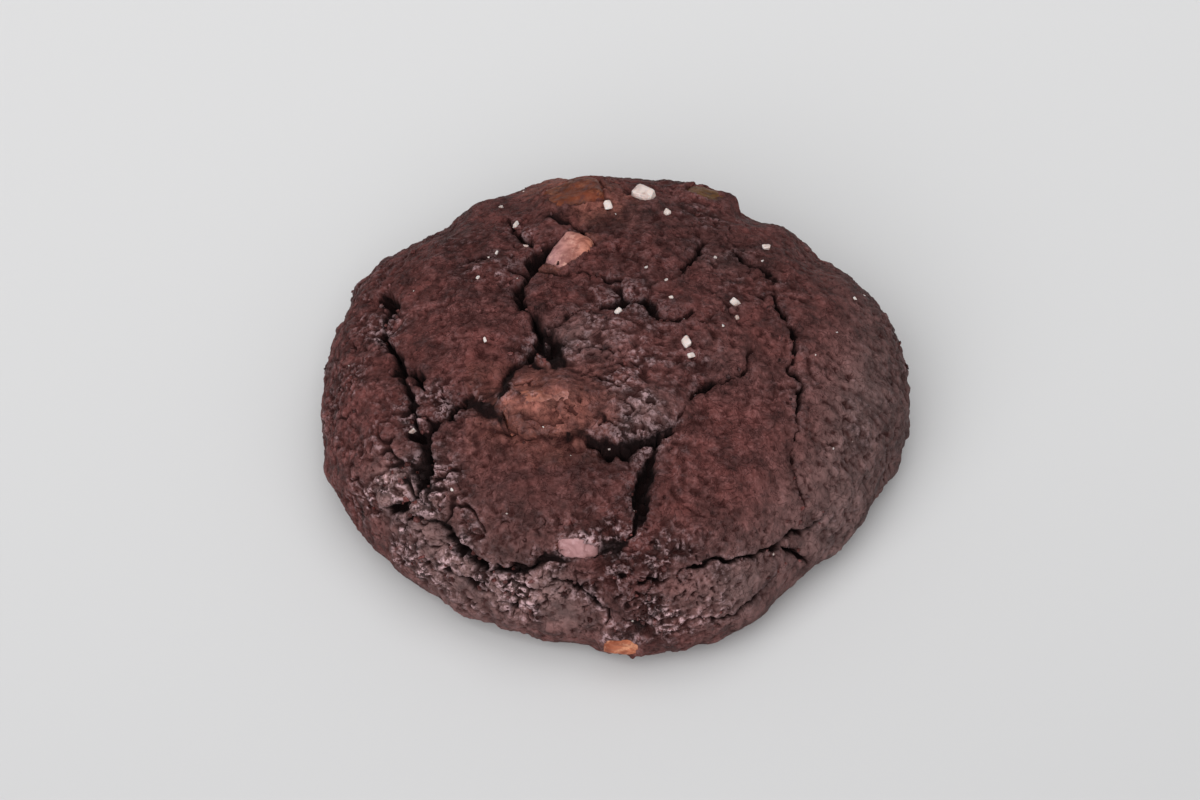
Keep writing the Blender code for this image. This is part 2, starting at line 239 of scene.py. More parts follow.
# Cracks: mm by which the left bank stands over the right, then photo pixels and mm between banks
cracks = (
    # from the hole beside the chunk down to the left end of the middle lump
    (0.6, ((592, 227, 0.5), (579, 231, 1.1), (562, 240, 2.6), (548, 249, 4.4), (538, 259, 3.2),
           (532, 270, 1.4), (520, 282, 1.3), (518, 293, 1.6), (527, 307, 1.2), (539, 323, 2.2),
           (542, 338, 1.6), (532, 352, 2.4), (514, 367, 1.6), (508, 380, 1.8), (503, 395, 1.6))),
    (0.2, ((541, 338, 1.2), (552, 347, 1.6), (557, 357, 1.6), (556, 368, 0.7))),
    (0.2, ((508, 266, 0.6), (520, 268, 1.0), (533, 268, 1.4))),
    (0.5, ((533, 268, 0.9), (551, 273, 0.6), (575, 270, 0.5), (598, 273, 0.6), (617, 279, 0.7),
           (624, 293, 0.8))),
    (0.3, ((541, 323, 0.9), (557, 321, 0.8), (571, 312, 0.7), (583, 309, 0.5))),
    (0.0, ((503, 213, 0.5), (515, 228, 0.9), (525, 244, 0.8))),
    (0.2, ((533, 313, 0.8), (547, 328, 1.3), (559, 343, 1.5), (562, 358, 1.3), (557, 371, 0.6))),
    (0.0, ((522, 353, 0.8), (532, 362, 1.2), (544, 367, 0.9), (552, 377, 0.5))),
    (0.0, ((573, 352, 0.4), (590, 343, 0.7), (604, 346, 0.5))),
    # arch between the left plates
    (0.2, ((424, 436, 1.2), (441, 421, 1.0), (455, 403, 1.4), (471, 400, 1.7), (490, 407, 1.9),
           (504, 421, 1.4), (507, 431, 0.8))),
    # down the left side
    (0.4, ((380, 292, 1.7), (389, 303, 2.9), (386, 316, 1.7), (379, 331, 1.4), (388, 343, 1.6),
           (395, 355, 1.6), (400, 368, 1.8), (405, 390, 1.2), (413, 406, 1.1), (413, 420, 1.0),
           (412, 432, 2.3), (424, 443, 1.6), (425, 456, 2.3), (422, 470, 2.2), (417, 491, 1.7),
           (408, 504, 1.2), (404, 530, 0.6))),
    (0.0, ((412, 370, 1.5), (421, 376, 1.9), (424, 389, 0.7))),
    (0.0, ((408, 503, 1.1), (397, 506, 1.4), (386, 512, 1.6))),
    (0.0, ((406, 250, 0.6), (396, 260, 0.8), (386, 272, 0.9), (381, 283, 0.6))),
    # under the raised lump in the middle
    (2.8, ((507, 431, 0.6), (524, 434, 0.5), (553, 436, 0.5), (586, 437, 0.7), (600, 441, 1.1),
           (612, 445, 1.5), (625, 446, 1.3), (637, 443, 1.2), (650, 439, 1.2), (662, 434, 0.9),
           (676, 428, 0.6))),
    (0.5, ((676, 428, 0.4), (686, 412, 0.4), (692, 398, 0.5), (700, 387, 0.8), (712, 383, 1.1),
           (724, 379, 0.9), (737, 374, 0.4))),
    (0.3, ((574, 385, 0.3), (590, 378, 0.5), (606, 380, 0.5), (619, 388, 0.3))),
    (0.2, ((598, 367, 0.3), (622, 361, 0.5), (642, 369, 0.3))),
    # the open split down to the front rim
    (0.3, ((657, 440, 0.9), (655, 453, 0.8), (650, 465, 1.7), (647, 472, 2.6), (642, 490, 2.7),
           (638, 510, 1.9), (635, 526, 1.2), (627, 538, 0.5))),
    (0.0, ((617, 541, 0.6), (620, 552, 0.9), (613, 561, 0.4))),
    (0.0, ((607, 566, 0.3), (617, 575, 1.0), (629, 573, 0.4))),
    (0.0, ((604, 595, 0.4), (606, 610, 1.1), (604, 624, 0.7))),
    (0.0, ((635, 585, 0.4), (650, 578, 0.7), (662, 585, 0.4))),
    (0.0, ((625, 622, 0.5), (643, 630, 0.9), (662, 626, 0.4))),
    (0.0, ((586, 392, 0.3), (588, 405, 0.6))),
    (0.0, ((600, 404, 0.3), (603, 418, 0.6), (598, 429, 0.4))),
    # across the front
    (0.5, ((408, 519, 0.5), (432, 522, 1.0), (444, 529, 1.5), (453, 545, 2.1), (468, 556, 1.6),
           (478, 566, 1.8), (490, 571, 1.0), (512, 568, 1.3), (532, 569, 1.2), (545, 556, 1.1),
           (571, 553, 1.5), (597, 553, 1.2), (616, 545, 2.0))),
    (0.2, ((541, 580, 0.5), (565, 580, 0.9), (578, 590, 0.9), (590, 600, 1.1), (602, 609, 0.9))),
    (0.0, ((441, 570, 0.5), (456, 578, 0.9), (473, 588, 0.8))),
    (0.0, ((496, 604, 0.5), (505, 610, 0.8), (515, 612, 0.5))),
    # lower right
    (0.6, ((690, 567, 0.9), (699, 565, 1.2), (714, 560, 0.9), (735, 558, 1.3), (757, 556, 0.9),
           (783, 545, 1.6), (796, 532, 1.2), (815, 529, 1.2), (828, 511, 0.8), (837, 499, 0.4))),
    (0.0, ((788, 551, 0.8), (806, 561, 1.0), (813, 567, 0.4))),
    (0.2, ((780, 573, 0.5), (766, 592, 0.9), (752, 603, 0.7), (735, 617, 0.8), (718, 621, 0.8),
           (697, 616, 0.5))),
    # down the right side
    (0.4, ((735, 249, 0.8), (743, 259, 0.9), (764, 267, 1.0), (780, 278, 0.9), (776, 293, 0.8),
           (780, 308, 1.0), (797, 330, 1.4), (794, 350, 0.8), (789, 365, 0.8), (802, 387, 1.0),
           (800, 408, 0.7), (803, 430, 0.5), (793, 453, 0.5), (801, 480, 0.5), (806, 507, 0.4))),
    (0.0, ((776, 293, 0.7), (751, 293, 0.5))),
    # between the salt flakes on top
    (0.4, ((603, 305, 1.0), (613, 303, 1.6), (625, 297, 2.1), (642, 299, 1.9), (651, 305, 1.4),
           (656, 315, 1.4), (672, 316, 1.1), (690, 311, 0.6))),
    (0.0, ((703, 238, 0.7), (695, 254, 1.2), (684, 270, 0.8))),
    (0.0, ((684, 335, 0.4), (718, 307, 0.4))),
    (0.0, ((711, 288, 0.4), (731, 311, 0.7))),
    (0.0, ((743, 369, 0.8), (756, 347, 0.5))),
    (0.0, ((461, 260, 0.7), (472, 257, 1.5), (484, 254, 1.0))),
    (0.0, ((403, 289, 0.4), (410, 277, 0.7))),
    (0.0, ((545, 203, 0.7), (554, 214, 0.9), (578, 224, 0.8), (592, 229, 0.6))))
crackShape = {
    "wider": 1.22,
    "depth": 1.5,            # in widths
    "deepest": 3.8,          # mm
    "full": 1.3,             # mm wide where banks and crumbly edges reach their full size
    "wall": (0.18, 0.62),    # from the floor to the crust, in widths
    "wallFrom": 0.2,         # mm deep where a wall begins
    "crumble": (0.45, 1.5),  # mm by which the walls stray at most, over mm
    "crumbleShare": 0.35,    # and at most this share of the depth
    "crumbly": 1.1,          # mm over which the crumbly edge fades
    "wander": ((0.60, 3.4), (0.40, 1.4), (0.12, 0.6)),  # mm to the side, over mm along
    "uneven": (0.45, 1.7),   # share of the width, over mm
    "overhang": 0.15,        # how far the bank leans over the crack, in widths
    "brink": 0.35,           # how broad the leaning edge is, in widths
    "bankLean": 0.4,         # how much more the higher bank leans
    "sag": (0.26, 1.7),      # share of the depth, over mm
    "bankFade": 3.5,         # mm
    "reach": 9,              # mm past the crack that it still shapes
}
# Craggy patches: photo pixel, mm of reach, strength
craggy = (
    (400, 505, 6, 1.0), (385, 330, 3, 0.6), (415, 430, 4, 0.9), (420, 470, 4, 0.8), (445, 545, 5, 0.8),
    (470, 565, 5, 0.9), (500, 590, 7, 1.0), (545, 600, 7, 1.0), (590, 600, 7, 0.85), (622, 587, 6.5, 0.80),
    (660, 602, 6, 0.85), (620, 545, 4, 0.9), (540, 345, 4, 0.6), (625, 300, 4, 0.6), (640, 425, 7, 0.45),
    (605, 380, 6, 0.4), (690, 565, 4, 0.15), (560, 575, 6, 0.9), (500, 270, 3, 0.5), (700, 210, 4, 0.4),
    (650, 250, 7, 0.2), (702, 364, 3, 0.5), (735, 235, 5, 0.35), (745, 280, 5, 0.30), (352, 405, 8, 0.28),
    (365, 340, 5, 0.35), (448, 242, 7, 0.25), (480, 265, 4, 0.3), (612, 352, 6, 0.25), (567, 330, 4, 0.55),
    (520, 235, 3, 0.5), (437, 400, 3, 0.6), (492, 397, 3, 0.5), (655, 345, 5, 0.12), (850, 400, 8, 0.15),
    (835, 530, 7, 0.1), (750, 590, 7, 0.05), (400, 520, 7, 0.5))
# Patches of tone: photo pixel, mm of reach, how much brighter, how much greyer; the two darkened patches just
# under the raised middle lump are its painted shadow
tones = (
    (525, 490, 10, -0.32, 0.0), (575, 447, 2.5, -0.35, 0.0), (612, 460, 3.0, -0.35, 0.0),
    (645, 250, 9, -0.12, 0.0), (603, 217, 3, -0.45, 0.0), (640, 345, 7, 0.20, 0.1), (642, 412, 5, 0.15, 0.8),
    (830, 535, 10, 0.55, 0.5), (745, 595, 8, 0.42, 0.5), (490, 600, 12, 0.45, 0.65), (400, 490, 5, 0.30, 0.6),
    (400, 500, 7, 0.15, 0.4), (635, 598, 8, -0.30, 0.0), (650, 547, 6, -0.08, 0.0), (570, 335, 4, 0.25, 0.5),
    (430, 572, 7, 0.15, 0.5), (465, 245, 7, -0.12, 0.0), (355, 400, 9, 0.10, 0.0), (840, 380, 10, 0.26, 0.3),
    (451, 558, 3.0, 0.9, 0.7), (508, 590, 3.5, 0.8, 0.6), (572, 617, 4.5, 0.35, 0.6),
    (612, 603, 4.0, -0.35, 0.0), (553, 576, 2.5, 0.5, 0.4), (543, 598, 3.0, 0.4, 0.4),
    (603, 628, 2.5, 0.6, 0.2), (390, 492, 3.0, 0.6, 0.6), (421, 508, 2.5, 0.4, 0.4),
    (735, 585, 6.0, 0.25, 0.4), (672, 602, 5.0, 0.40, 0.4), (470, 585, 3.0, -0.4, 0.0),
    (627, 563, 3.5, 0.30, -0.8), (515, 540, 5.0, -0.15, 0.0),
    (725, 355, 5, 0.12, 0.2), (590, 340, 5, 0.10, 0.3), (702, 232, 4.5, -0.30, 0.15),
    (757, 262, 4.0, -0.25, 0.1), (718, 258, 3.0, 0.12, 0.4), (645, 218, 4.0, -0.12, 0.2))
# Dough tinted by melted chocolate: photo pixel, mm of reach, strength
smears = (
    (590, 215, 2.0, 0.9), (604, 194, 2.0, 0.8), (566, 184, 2.0, 0.6), (528, 400, 2.6, 0.7),
    (560, 424, 2.6, 0.7), (578, 400, 2.2, 0.5), (600, 392, 1.6, 0.4))
# Crags: mm wide, random seed, mm high, and the shares of round clumps, tilted shards, ridges (or creases,
# where the share is below nought) and gaps
cragSizes = (
    (4.8, 43, 1.20, (0.10, 0.60, -0.35, 0.15)),
    (2.3, 41, 0.75, (0.00, 0.85, -0.50, 0.20)),
    (1.1, 42, 0.38, (0.00, 0.85, 0.35, 0.00)))
cragForm = {
    "stretch": (0.70, 1.0, 1.15),  # flakes lie wider than they stand
    "bend": (0.13, 0.45),          # how far their borders bend, and over how much, in widths
    "clump": (0.85, 0.7),          # a clump's radius, and how deep it sits
    "shard": (0.45, 0.9),          # a shard's step and its tilt
    "ridge": (0.55, 2),            # a ridge's height and steepness
    "gap": (0.02, 0.20),           # from the floor of a gap to the flake
    "least": 0.02,                 # crust less craggy than this has none
}
# Where the crust tends to crags round the rim: degrees, strength, degrees of spread
rimCraggy = ((235, 0.75, 35), (266, 0.80, 18), (150, 0.45, 40), (90, 0.5, 35), (20, 0.25, 35))
cragSpread = {
    "everywhere": 0.06,
    "rim": (10, 20),         # mm up, from the craggy rim to the smooth top
    "foot": (5, 10.5),       # mm up, from the smooth foot to the craggy rim
    "quiet": 0.12,           # share that is left on the foot and between patches
    "patches": 5.5,          # mm wide
    "splits": ((6.5, 72, 1), (3.2, 74, 0.8), (1.9, 78, 0.6)),  # mm wide, seed, strength
    "splitDepth": 1.0,       # mm
    "splitsFrom": (0.2, 0.6),  # how craggy the crust is where they start and where they are full
    "beside": 0.6,           # strength beside a crack
}
# Grain of the crust
grain = {
    "sway": (0.18, 3.6),         # mm high, mm wide
    "fine": ((0.12, 2.1, 3, 61), (0.13, 0.8, 2, 62)),  # mm high, mm wide, octaves, seed
    "pits": ((0.24, 2.0, 63), (0.20, 1.0, 64)),        # mm deep, mm wide, seed
    "fissures": (0.22, 4.2),     # mm deep, mm wide
    "coarse": (0.5, 0.8, 9),     # least share, what coarse places add, mm wide
    "underCrags": 0.5,           # share of the grain that crags take away
    "folds": (0.36, 1.5, 0.25),  # upright folds on the right side: mm deep, mm wide, width over height
    "foldsAt": (-10, 42),        # degrees, degrees of spread
    "foldsEnd": (17, 23),        # mm up
}
# What the material reads from the dough's points
marks = {
    "crest": (10, 0.16),        # steps to a point's surroundings, mm over them that make a full crest
    "hollow": (1.3, 0.9, 0.8),  # mm of crack that are painted fully dark as shade, shares of gaps and splits
    "cragTone": 0.25,           # how much darker crags are
    "foldGrey": 0.8,            # how much greyer the folds are
}


def smooth(amount, start, end):
    t = np.clip((amount - start) / (end - start), 0, 1)
    return t * t * (3 - 2 * t)


def cloud(points, size, octaves, seed):  # soft noise from about -1 to 1, size in mm
    spots = (points / (size * mm) + np.array((7.3, 3.1, 5.7)) * seed).tolist()
    return np.array([noise.fractal(spot, 1, 2, octaves) for spot in spots])


def clouds(points, layers):  # each layer: how much, mm wide, octaves, seed
    return sum(high * cloud(points, wide, octaves, seed) for high, wide, octaves, seed in layers)


def cells(points, size, seed):  # distance to a cell's seed, room to the next cell, its number and tilt
    spots = (points / (size * mm) + np.array((5.3, 8.9, 2.3)) * seed).tolist()
    near, room, number, tilt = [], [], [], []
    for spot in spots:
        distances, centres = noise.voronoi(spot)
        centre = centres[0]
        lean = Vector((noise.cell(centre * 5.1), noise.cell(centre * 6.7), noise.cell(centre * 8.3)))
        near.append(distances[0])
        room.append(distances[1] - distances[0])
        number.append(noise.cell(centre * 3.7))
        tilt.append((Vector(spot) - centre).dot(lean))
    return np.array(near), np.array(room), np.array(number), np.array(tilt)


def turning(points):
    return np.degrees(np.arctan2(points[:, 1], points[:, 0])) % 360


def patch(points, spot, reach):  # one at that point of the dough, fading over so many mm
    return np.exp(-((np.linalg.norm(points - points[spot], axis=1) / (reach * mm)) ** 2))


def sector(angle, degrees, spread):  # one at that side of the cookie, fading to both sides
    off = (angle - degrees + 180) % 360 - 180
    return np.exp(-((off / spread) ** 2))


def bareDough(directions):
    x, y, z = directions.T
    angle = np.degrees(np.arctan2(y, x))
    radius = np.full_like(angle, dough["radius"])
    for degrees, swell, spread in dough["outline"]:
        radius += swell * sector(angle, degrees, spread)
    upper = z > 0
    power = np.where(upper, 2 / dough["domePower"], 2 / dough["footPower"])
    across = np.maximum(np.hypot(x, y), 1e-9)
    radius = radius * across ** power
    tall = np.where(upper, dough["height"] - dough["waist"], -dough["undercut"])
    height = np.maximum(dough["waist"] + tall * np.abs(z) ** power, 0)
    return np.column_stack((radius * x / across, radius * y / across, height)) * mm


def meshPoints(mesh):
    points = np.zeros(len(mesh.vertices) * 3)
    mesh.vertices.foreach_get("co", points)
    return points.reshape(-1, 3)


def meshNormals(mesh):
    normals = np.zeros(len(mesh.vertices) * 3)
    mesh.vertex_normals.foreach_get("vector", normals)
    return normals.reshape(-1, 3)


def movePoints(mesh, points):
    mesh.vertices.foreach_set("co", points.ravel())
    mesh.update()


def applied(made):  # bakes an object's modifiers into its mesh
    baked = bpy.data.meshes.new_from_object(made.evaluated_get(bpy.context.evaluated_depsgraph_get()))
    made.modifiers.clear()
    made.data = baked
    return baked


def evenBall(name):  # a cube cut into even squares and blown up to a ball
    bm = bmesh.new()
    bmesh.ops.create_cube(bm, size=2)
    bmesh.ops.subdivide_edges(bm, edges=bm.edges[:], cuts=dough["cubeCuts"], use_grid_fill=True)
    ball = newObject(name, bm)
    finer = ball.modifiers.new("finer", "SUBSURF")
    finer.subdivision_type = "SIMPLE"
    finer.levels = finer.render_levels = dough["doublings"]
    mesh = applied(ball)
    directions = np.tan(meshPoints(mesh) * math.pi / 4)
    return ball, mesh, directions / np.linalg.norm(directions, axis=1)[:, None]


spotSearch = {
    "facing": 0.02,          # a point counts if it turns at least this far to the camera
    "slack": 2,              # photo pixels by which a point may be further off than the closest
    "missCost": 0.3,         # mm of depth that a pixel off is worth
}


def spotFinder(points, normals):  # gives the point of the crust that a photo pixel shows
    pixels = photoPixels(points)
    facing = np.flatnonzero(normals @ sight < -spotSearch["facing"])
    depth = (points - eye) @ sight

    def find(u, v):  # the nearest to the camera of the points close to that pixel
        miss = np.hypot(pixels[facing, 0] - u, pixels[facing, 1] - v)
        close = miss < miss.min() + spotSearch["slack"]
        cost = depth[facing[close]] / mm + spotSearch["missCost"] * miss[close]
        return int(facing[close][np.argmin(cost)])
    return find


def nearestStretch(here, out, spots):  # how far off a crack is, its width, which bank, the way from it
    distance = np.full(len(here), 1.0)
    width, side = np.zeros(len(here)), np.ones(len(here))
    away = np.zeros((len(here), 3))
    for (start, startWidth), (end, endWidth) in pairwise(spots):
        stretch = end - start
        along = np.clip((here - start) @ stretch / (stretch @ stretch), 0, 1)
        gap = here - start - along[:, None] * stretch
        far = np.linalg.norm(gap, axis=1)
        closer = far < distance
        distance[closer] = far[closer]
        width[closer] = (startWidth + along * (endWidth - startWidth))[closer]
        side[closer] = np.sign(np.einsum("ij,ij->i", np.cross(stretch, gap), out))[closer]
        away[closer] = (gap / np.maximum(far, 1e-9)[:, None])[closer]
    return distance, width, side, away


def crackRelief(points, normals, find):  # how deep cracks cut, how banks lift and lean, and crumbly edges
    wander = points.copy()
    for seed, (far, over) in enumerate(crackShape["wander"], start=21):
        for axis in range(3):
            wander[:, axis] += far * mm * cloud(points, over, 2, seed + 5 * axis)
    share, over = crackShape["uneven"]
    uneven = 1 + share * cloud(points, over, 2, 27)
    wallFrom, wallTo = crackShape["wall"]
    sagShare, sagOver = crackShape["sag"]
    full = crackShape["full"] * mm
    groove, lift, edge = (np.zeros(len(points)) for _ in range(3))
    lean = np.zeros((len(points), 3))
    for bank, run in cracks:
        spots = [(points[find(u, v)], width * crackShape["wider"] * mm) for u, v, width in run]
        ends = np.array([spot for spot, _ in spots])
        reach = max(width for _, width in spots) + crackShape["reach"] * mm
        near = np.all((wander > ends.min(0) - reach) & (wander < ends.max(0) + reach), axis=1)
        distance, width, side, away = nearestStretch(wander[near], normals[near], spots)
        width = width * uneven[near]
        depth = np.minimum(crackShape["depth"] * width, crackShape["deepest"] * mm)
        opening = 1 - smooth(distance, wallFrom * width, wallTo * width)
        sag = sagShare * np.exp(-distance / (sagOver * mm))
        groove[near] = np.maximum(groove[near], depth * (opening + sag * (1 - opening)))
        step = side * np.minimum(width / full, 1)
        lift[near] += 0.5 * bank * mm * step * np.exp(-distance / (crackShape["bankFade"] * mm))
        brink = np.exp(-((distance - wallTo * width) / (crackShape["brink"] * width)) ** 2)
        pull = crackShape["overhang"] * width * brink * (1 + crackShape["bankLean"] * side * bank)
        lean[near] -= away * pull[:, None]
        crumbly = np.exp(-np.maximum(distance - 0.5 * width, 0) / (crackShape["crumbly"] * mm))
        edge[near] = np.maximum(edge[near], crumbly * np.minimum(width / full, 1))
    return groove, lift, edge, lean


def cragMask(points, edge, find):  # how craggy the crust is, the same with cracks' edges, and its splits
    angle = turning(points)
    mask = np.full(len(points), cragSpread["everywhere"])
    low, high = cragSpread["rim"]
    rim = 1 - smooth(points[:, 2], low * mm, high * mm)
    for degrees, strength, spread in rimCraggy:
        mask += strength * rim * sector(angle, degrees, spread)
    for u, v, reach, strength in craggy:
        mask += strength * patch(points, find(u, v), reach)
    low, high = cragSpread["foot"]
    quiet = cragSpread["quiet"]
    mask = np.clip(mask, 0, 1) * (quiet + (1 - quiet) * smooth(points[:, 2], low * mm, high * mm))
    patchy = smooth(cloud(points, cragSpread["patches"], 3, 31), -0.40, 0.15)
    crag = mask * (quiet + (1 - quiet) * patchy)
    split = np.zeros(len(points))
    for size, seed, strength in cragSpread["splits"]:
        split = np.maximum(split, strength * fissures(points, size, seed))
    split = split * smooth(mask, *cragSpread["splitsFrom"])
    return crag, np.maximum(crag, cragSpread["beside"] * edge), split


def cragRelief(points, mask):
    out, gaps = np.zeros(len(points)), np.zeros(len(points))
    on = mask > cragForm["least"]
    bendShare, bendOver = cragForm["bend"]
    clumpRadius, clumpSunk = cragForm["clump"]
    shardStep, shardTilt = cragForm["shard"]
    ridgeHigh, ridgeSteep = cragForm["ridge"]
    for size, seed, high, (clumps, shards, ridges, splits) in cragSizes:
        here = points[on] * cragForm["stretch"]
        bend = [cloud(here, bendOver * size, 2, seed + 7 * axis) for axis in range(3)]
        bent = here + bendShare * size * mm * np.column_stack(bend)
        near, gap, number, tilt = cells(bent, size, seed)
        clump = np.sqrt(np.clip(1 - (near / clumpRadius) ** 2, 0, 1)) - clumpSunk
        shard = shardStep * number + shardTilt * tilt
        ridge = ridgeHigh - ridgeSteep * np.abs(cloud(here, size, 2, seed + 4))
        gap = (1 - smooth(gap, *cragForm["gap"])) * smooth(number, -0.5, 0.3)
        out[on] += high * mm * (clumps * clump + shards * shard + ridges * ridge - splits * gap)
        gaps[on] = np.maximum(gaps[on], gap * splits)
    return out * mask, gaps * mask


def pits(points, size, seed):  # uneven little hollows
    return smooth(cloud(points, size, 2, seed), 0.22, 0.50)


def allPits(points, layers):  # each layer: mm deep, mm wide, seed
    return sum(deep * pits(points, wide, seed) for deep, wide, seed in layers)


def fissures(points, size, seed):  # short wriggling splits in the crust
    line = np.abs(cloud(points, size, 2, seed) + 0.12 * cloud(points, size * 0.3, 2, seed + 3))
    patches = smooth(cloud(points, size * 2.2, 1, seed + 1), -0.05, 0.25)
    broken = smooth(cloud(points, size * 0.6, 1, seed + 2), -0.15, 0.10)
    return (1 - smooth(line, 0.02, 0.10)) * patches * broken


def folds(points):  # how far round each point lies, and where the side hangs in upright folds
    turned = (turning(points) + 180) % 360 - 180
    middle, spread = grain["foldsAt"]
    low, high = grain["foldsEnd"]
    side = np.exp(-((turned - middle) / spread) ** 2) * (1 - smooth(points[:, 2], low * mm, high * mm))
    return turned, side


def addGrain(height, points, mask):
    turned, side = folds(points)
    plate = 1 - grain["underCrags"] * mask
    least, more, wide = grain["coarse"]
    coarse = least + more * smooth(cloud(points, wide, 2, 69), -0.3, 0.4)
    high, wide = grain["sway"]
    height += plate * high * mm * cloud(points, wide, 2, 60)
    fine = clouds(points, grain["fine"]) - allPits(points, grain["pits"])
    deep, wide = grain["fissures"]
    fine -= deep * fissures(points, wide, 66) * (1 - side)
    height += plate * coarse * fine * mm
    deep, wide, stretch = grain["folds"]
    upright = np.column_stack((np.radians(turned) * dough["radius"] * mm, points[:, 2] * stretch,
                               np.hypot(points[:, 0], points[:, 1]) * stretch))
    height -= side * deep * mm * np.abs(cloud(upright, wide, 3, 65))
    return side


def neighbourMean(values, pairs, rounds):  # averages a value along the mesh's edges
    count = np.bincount(pairs.ravel(), minlength=len(values)).astype(float)
    for _ in range(rounds):
        total = np.bincount(pairs[:, 0], values[pairs[:, 1]], len(values))
        total += np.bincount(pairs[:, 1], values[pairs[:, 0]], len(values))
        values = total / count
    return values


# How the dough laps over a chunk, in mm unless a note says otherwise
lap = {
    "reach": 5,              # how far round a chunk the dough takes part
    "turned": 0.2,           # how far past edge-on to the camera it may lie there, as a sine
    "search": 8,             # how far above and below the dough the chunk is sought
    "steps": 45,             # points from one to the next that a cover may spread
    "ragged": ((1, 2.2, 3, 51), (0.5, 0.8, 2, 52)),  # share, mm wide, octaves, seed
    "clods": 1.7,            # width of the clods
    "thin": 0.12,            # the dough's least thickness over the chunk
    "uneven": 0.20,          # what ragged places add
    "lip": 0.05,             # its thickness at the bare face
    "lipTo": 1.35,           # where the lip reaches its full thickness, in half widths of the bare face
    "fadeTo": 1.8,           # where the dough has its own shape again, in half widths
    "soft": 0.4,             # how softly the two meet
    "crack": 1.0,            # a crack deeper than this opens beside the chunk
    "leanFrom": 1.5,         # how far from the chunk a crack's banks lean fully
    "smearFrom": 0.9,        # where the chunk's colour starts to fade in the dough, in half widths
}


def softCover(values, pairs, drop):  # raises each point to its neighbours' values less the drop to them
    for _ in range(lap["steps"]):
        np.maximum.at(values, pairs[:, 0], values[pairs[:, 1]] - drop)
        np.maximum.at(values, pairs[:, 1], values[pairs[:, 0]] - drop)
    return values


def chunkTop(name, points, normals):  # how high the chunk stands over each point, or nan where it isn't
    solid = bareChunks[name].data
    tree = BVHTree.FromPolygons([v.co for v in solid.vertices], [tuple(p.vertices) for p in solid.polygons])
    top = np.full(len(points), np.nan)
    for k, (point, normal) in enumerate(zip(points, normals)):
        base, out = Vector(point), Vector(normal)
        hit = tree.ray_cast(base + out * lap["search"] * mm, -out, 2 * lap["search"] * mm)[0]
        if hit is not None:
            top[k] = (hit - base).dot(out)
    return top


def offBareFace(chunk, points):  # below one where the photo shows the chunk bare, in half widths
    pixels = photoPixels(points)
    turn = math.radians(chunk["turn"])
    du, dv = pixels[:, 0] - chunk["at"][0], pixels[:, 1] - chunk["at"][1]
    along = (du * math.cos(turn) - dv * math.sin(turn)) / chunk["bare"][0]
    across = (du * math.sin(turn) + dv * math.cos(turn)) / chunk["bare"][1]
    square = chunk["square"]
    return (np.abs(along) ** square + np.abs(across) ** square) ** (1 / square)


def lapOverChunks(points, normals, pairs, height):
    # The dough sinks just under each chunk's bare face, laps raggedly over its border and slopes away
    smear, loose, dark = np.zeros(len(points)), np.ones(len(points)), np.ones(len(points))
    for name, chunk in chunks.items():
        low, high = (np.array(corner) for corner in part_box(name))
        reach = lap["reach"] * mm
        inside = np.all((points > low - reach) & (points < high + reach), axis=1)
        near = np.flatnonzero(inside & (normals @ sight < lap["turned"]))
        here, out, was = points[near], normals[near], height[near]
        number = np.full(len(points), -1)
        number[near] = range(len(near))
        local = number[pairs]
        local = local[(local >= 0).all(1)]
        run = np.linalg.norm(here[local[:, 0]] - here[local[:, 1]], axis=1)
        top = chunkTop(name, here, out)
        over = ~np.isnan(top)
        far = -softCover(np.where(over, 0, -1.0), local, run)
        ragged = clouds(here, lap["ragged"])
        clods = np.abs(cloud(here, lap["clods"], 2, 53))
        off = offBareFace(chunk, here + out * np.nan_to_num(top)[:, None]) + chunk["ragged"] * ragged
        thick = lap["thin"] + lap["uneven"] * np.maximum(ragged, 0) + chunk["clods"] * clods
        lip = (lap["lip"] + (thick - lap["lip"]) * smooth(off, 1, lap["lipTo"])) * mm
        blanket = softCover(np.where(over, top, -1.0), local, run * chunk["slope"])
        cover = blanket + lip
        wide = np.where(over, smooth(off, 1, lap["fadeTo"]), 1)
        lapped = cover + 0.5 * (was - cover + np.hypot(was - cover, lap["soft"] * mm)) * wide
        height[near] = np.where(over & (off < 1), blanket - chunk["sunk"] * mm, lapped)
        cracked = over & (was < -lap["crack"] * mm)
        beside, bare = near[cracked], top[cracked] - chunk["sunk"] * mm
        height[beside] = np.minimum(np.minimum(height[beside], was[cracked]), bare)
        loose[near] = np.minimum(loose[near], np.clip(far / (lap["leanFrom"] * mm), 0, 1))
        tinted = np.exp(-np.maximum(off - lap["smearFrom"], 0) / chunk["smear"])
        smear[near] = np.maximum(smear[near], tinted)
        # dough over a chunk keeps only its share of the cracks' painted shade
        dark[near] = np.minimum(dark[near], loose[near] + (1 - loose[near]) * chunk["shade"])
    return height, smear, loose, dark
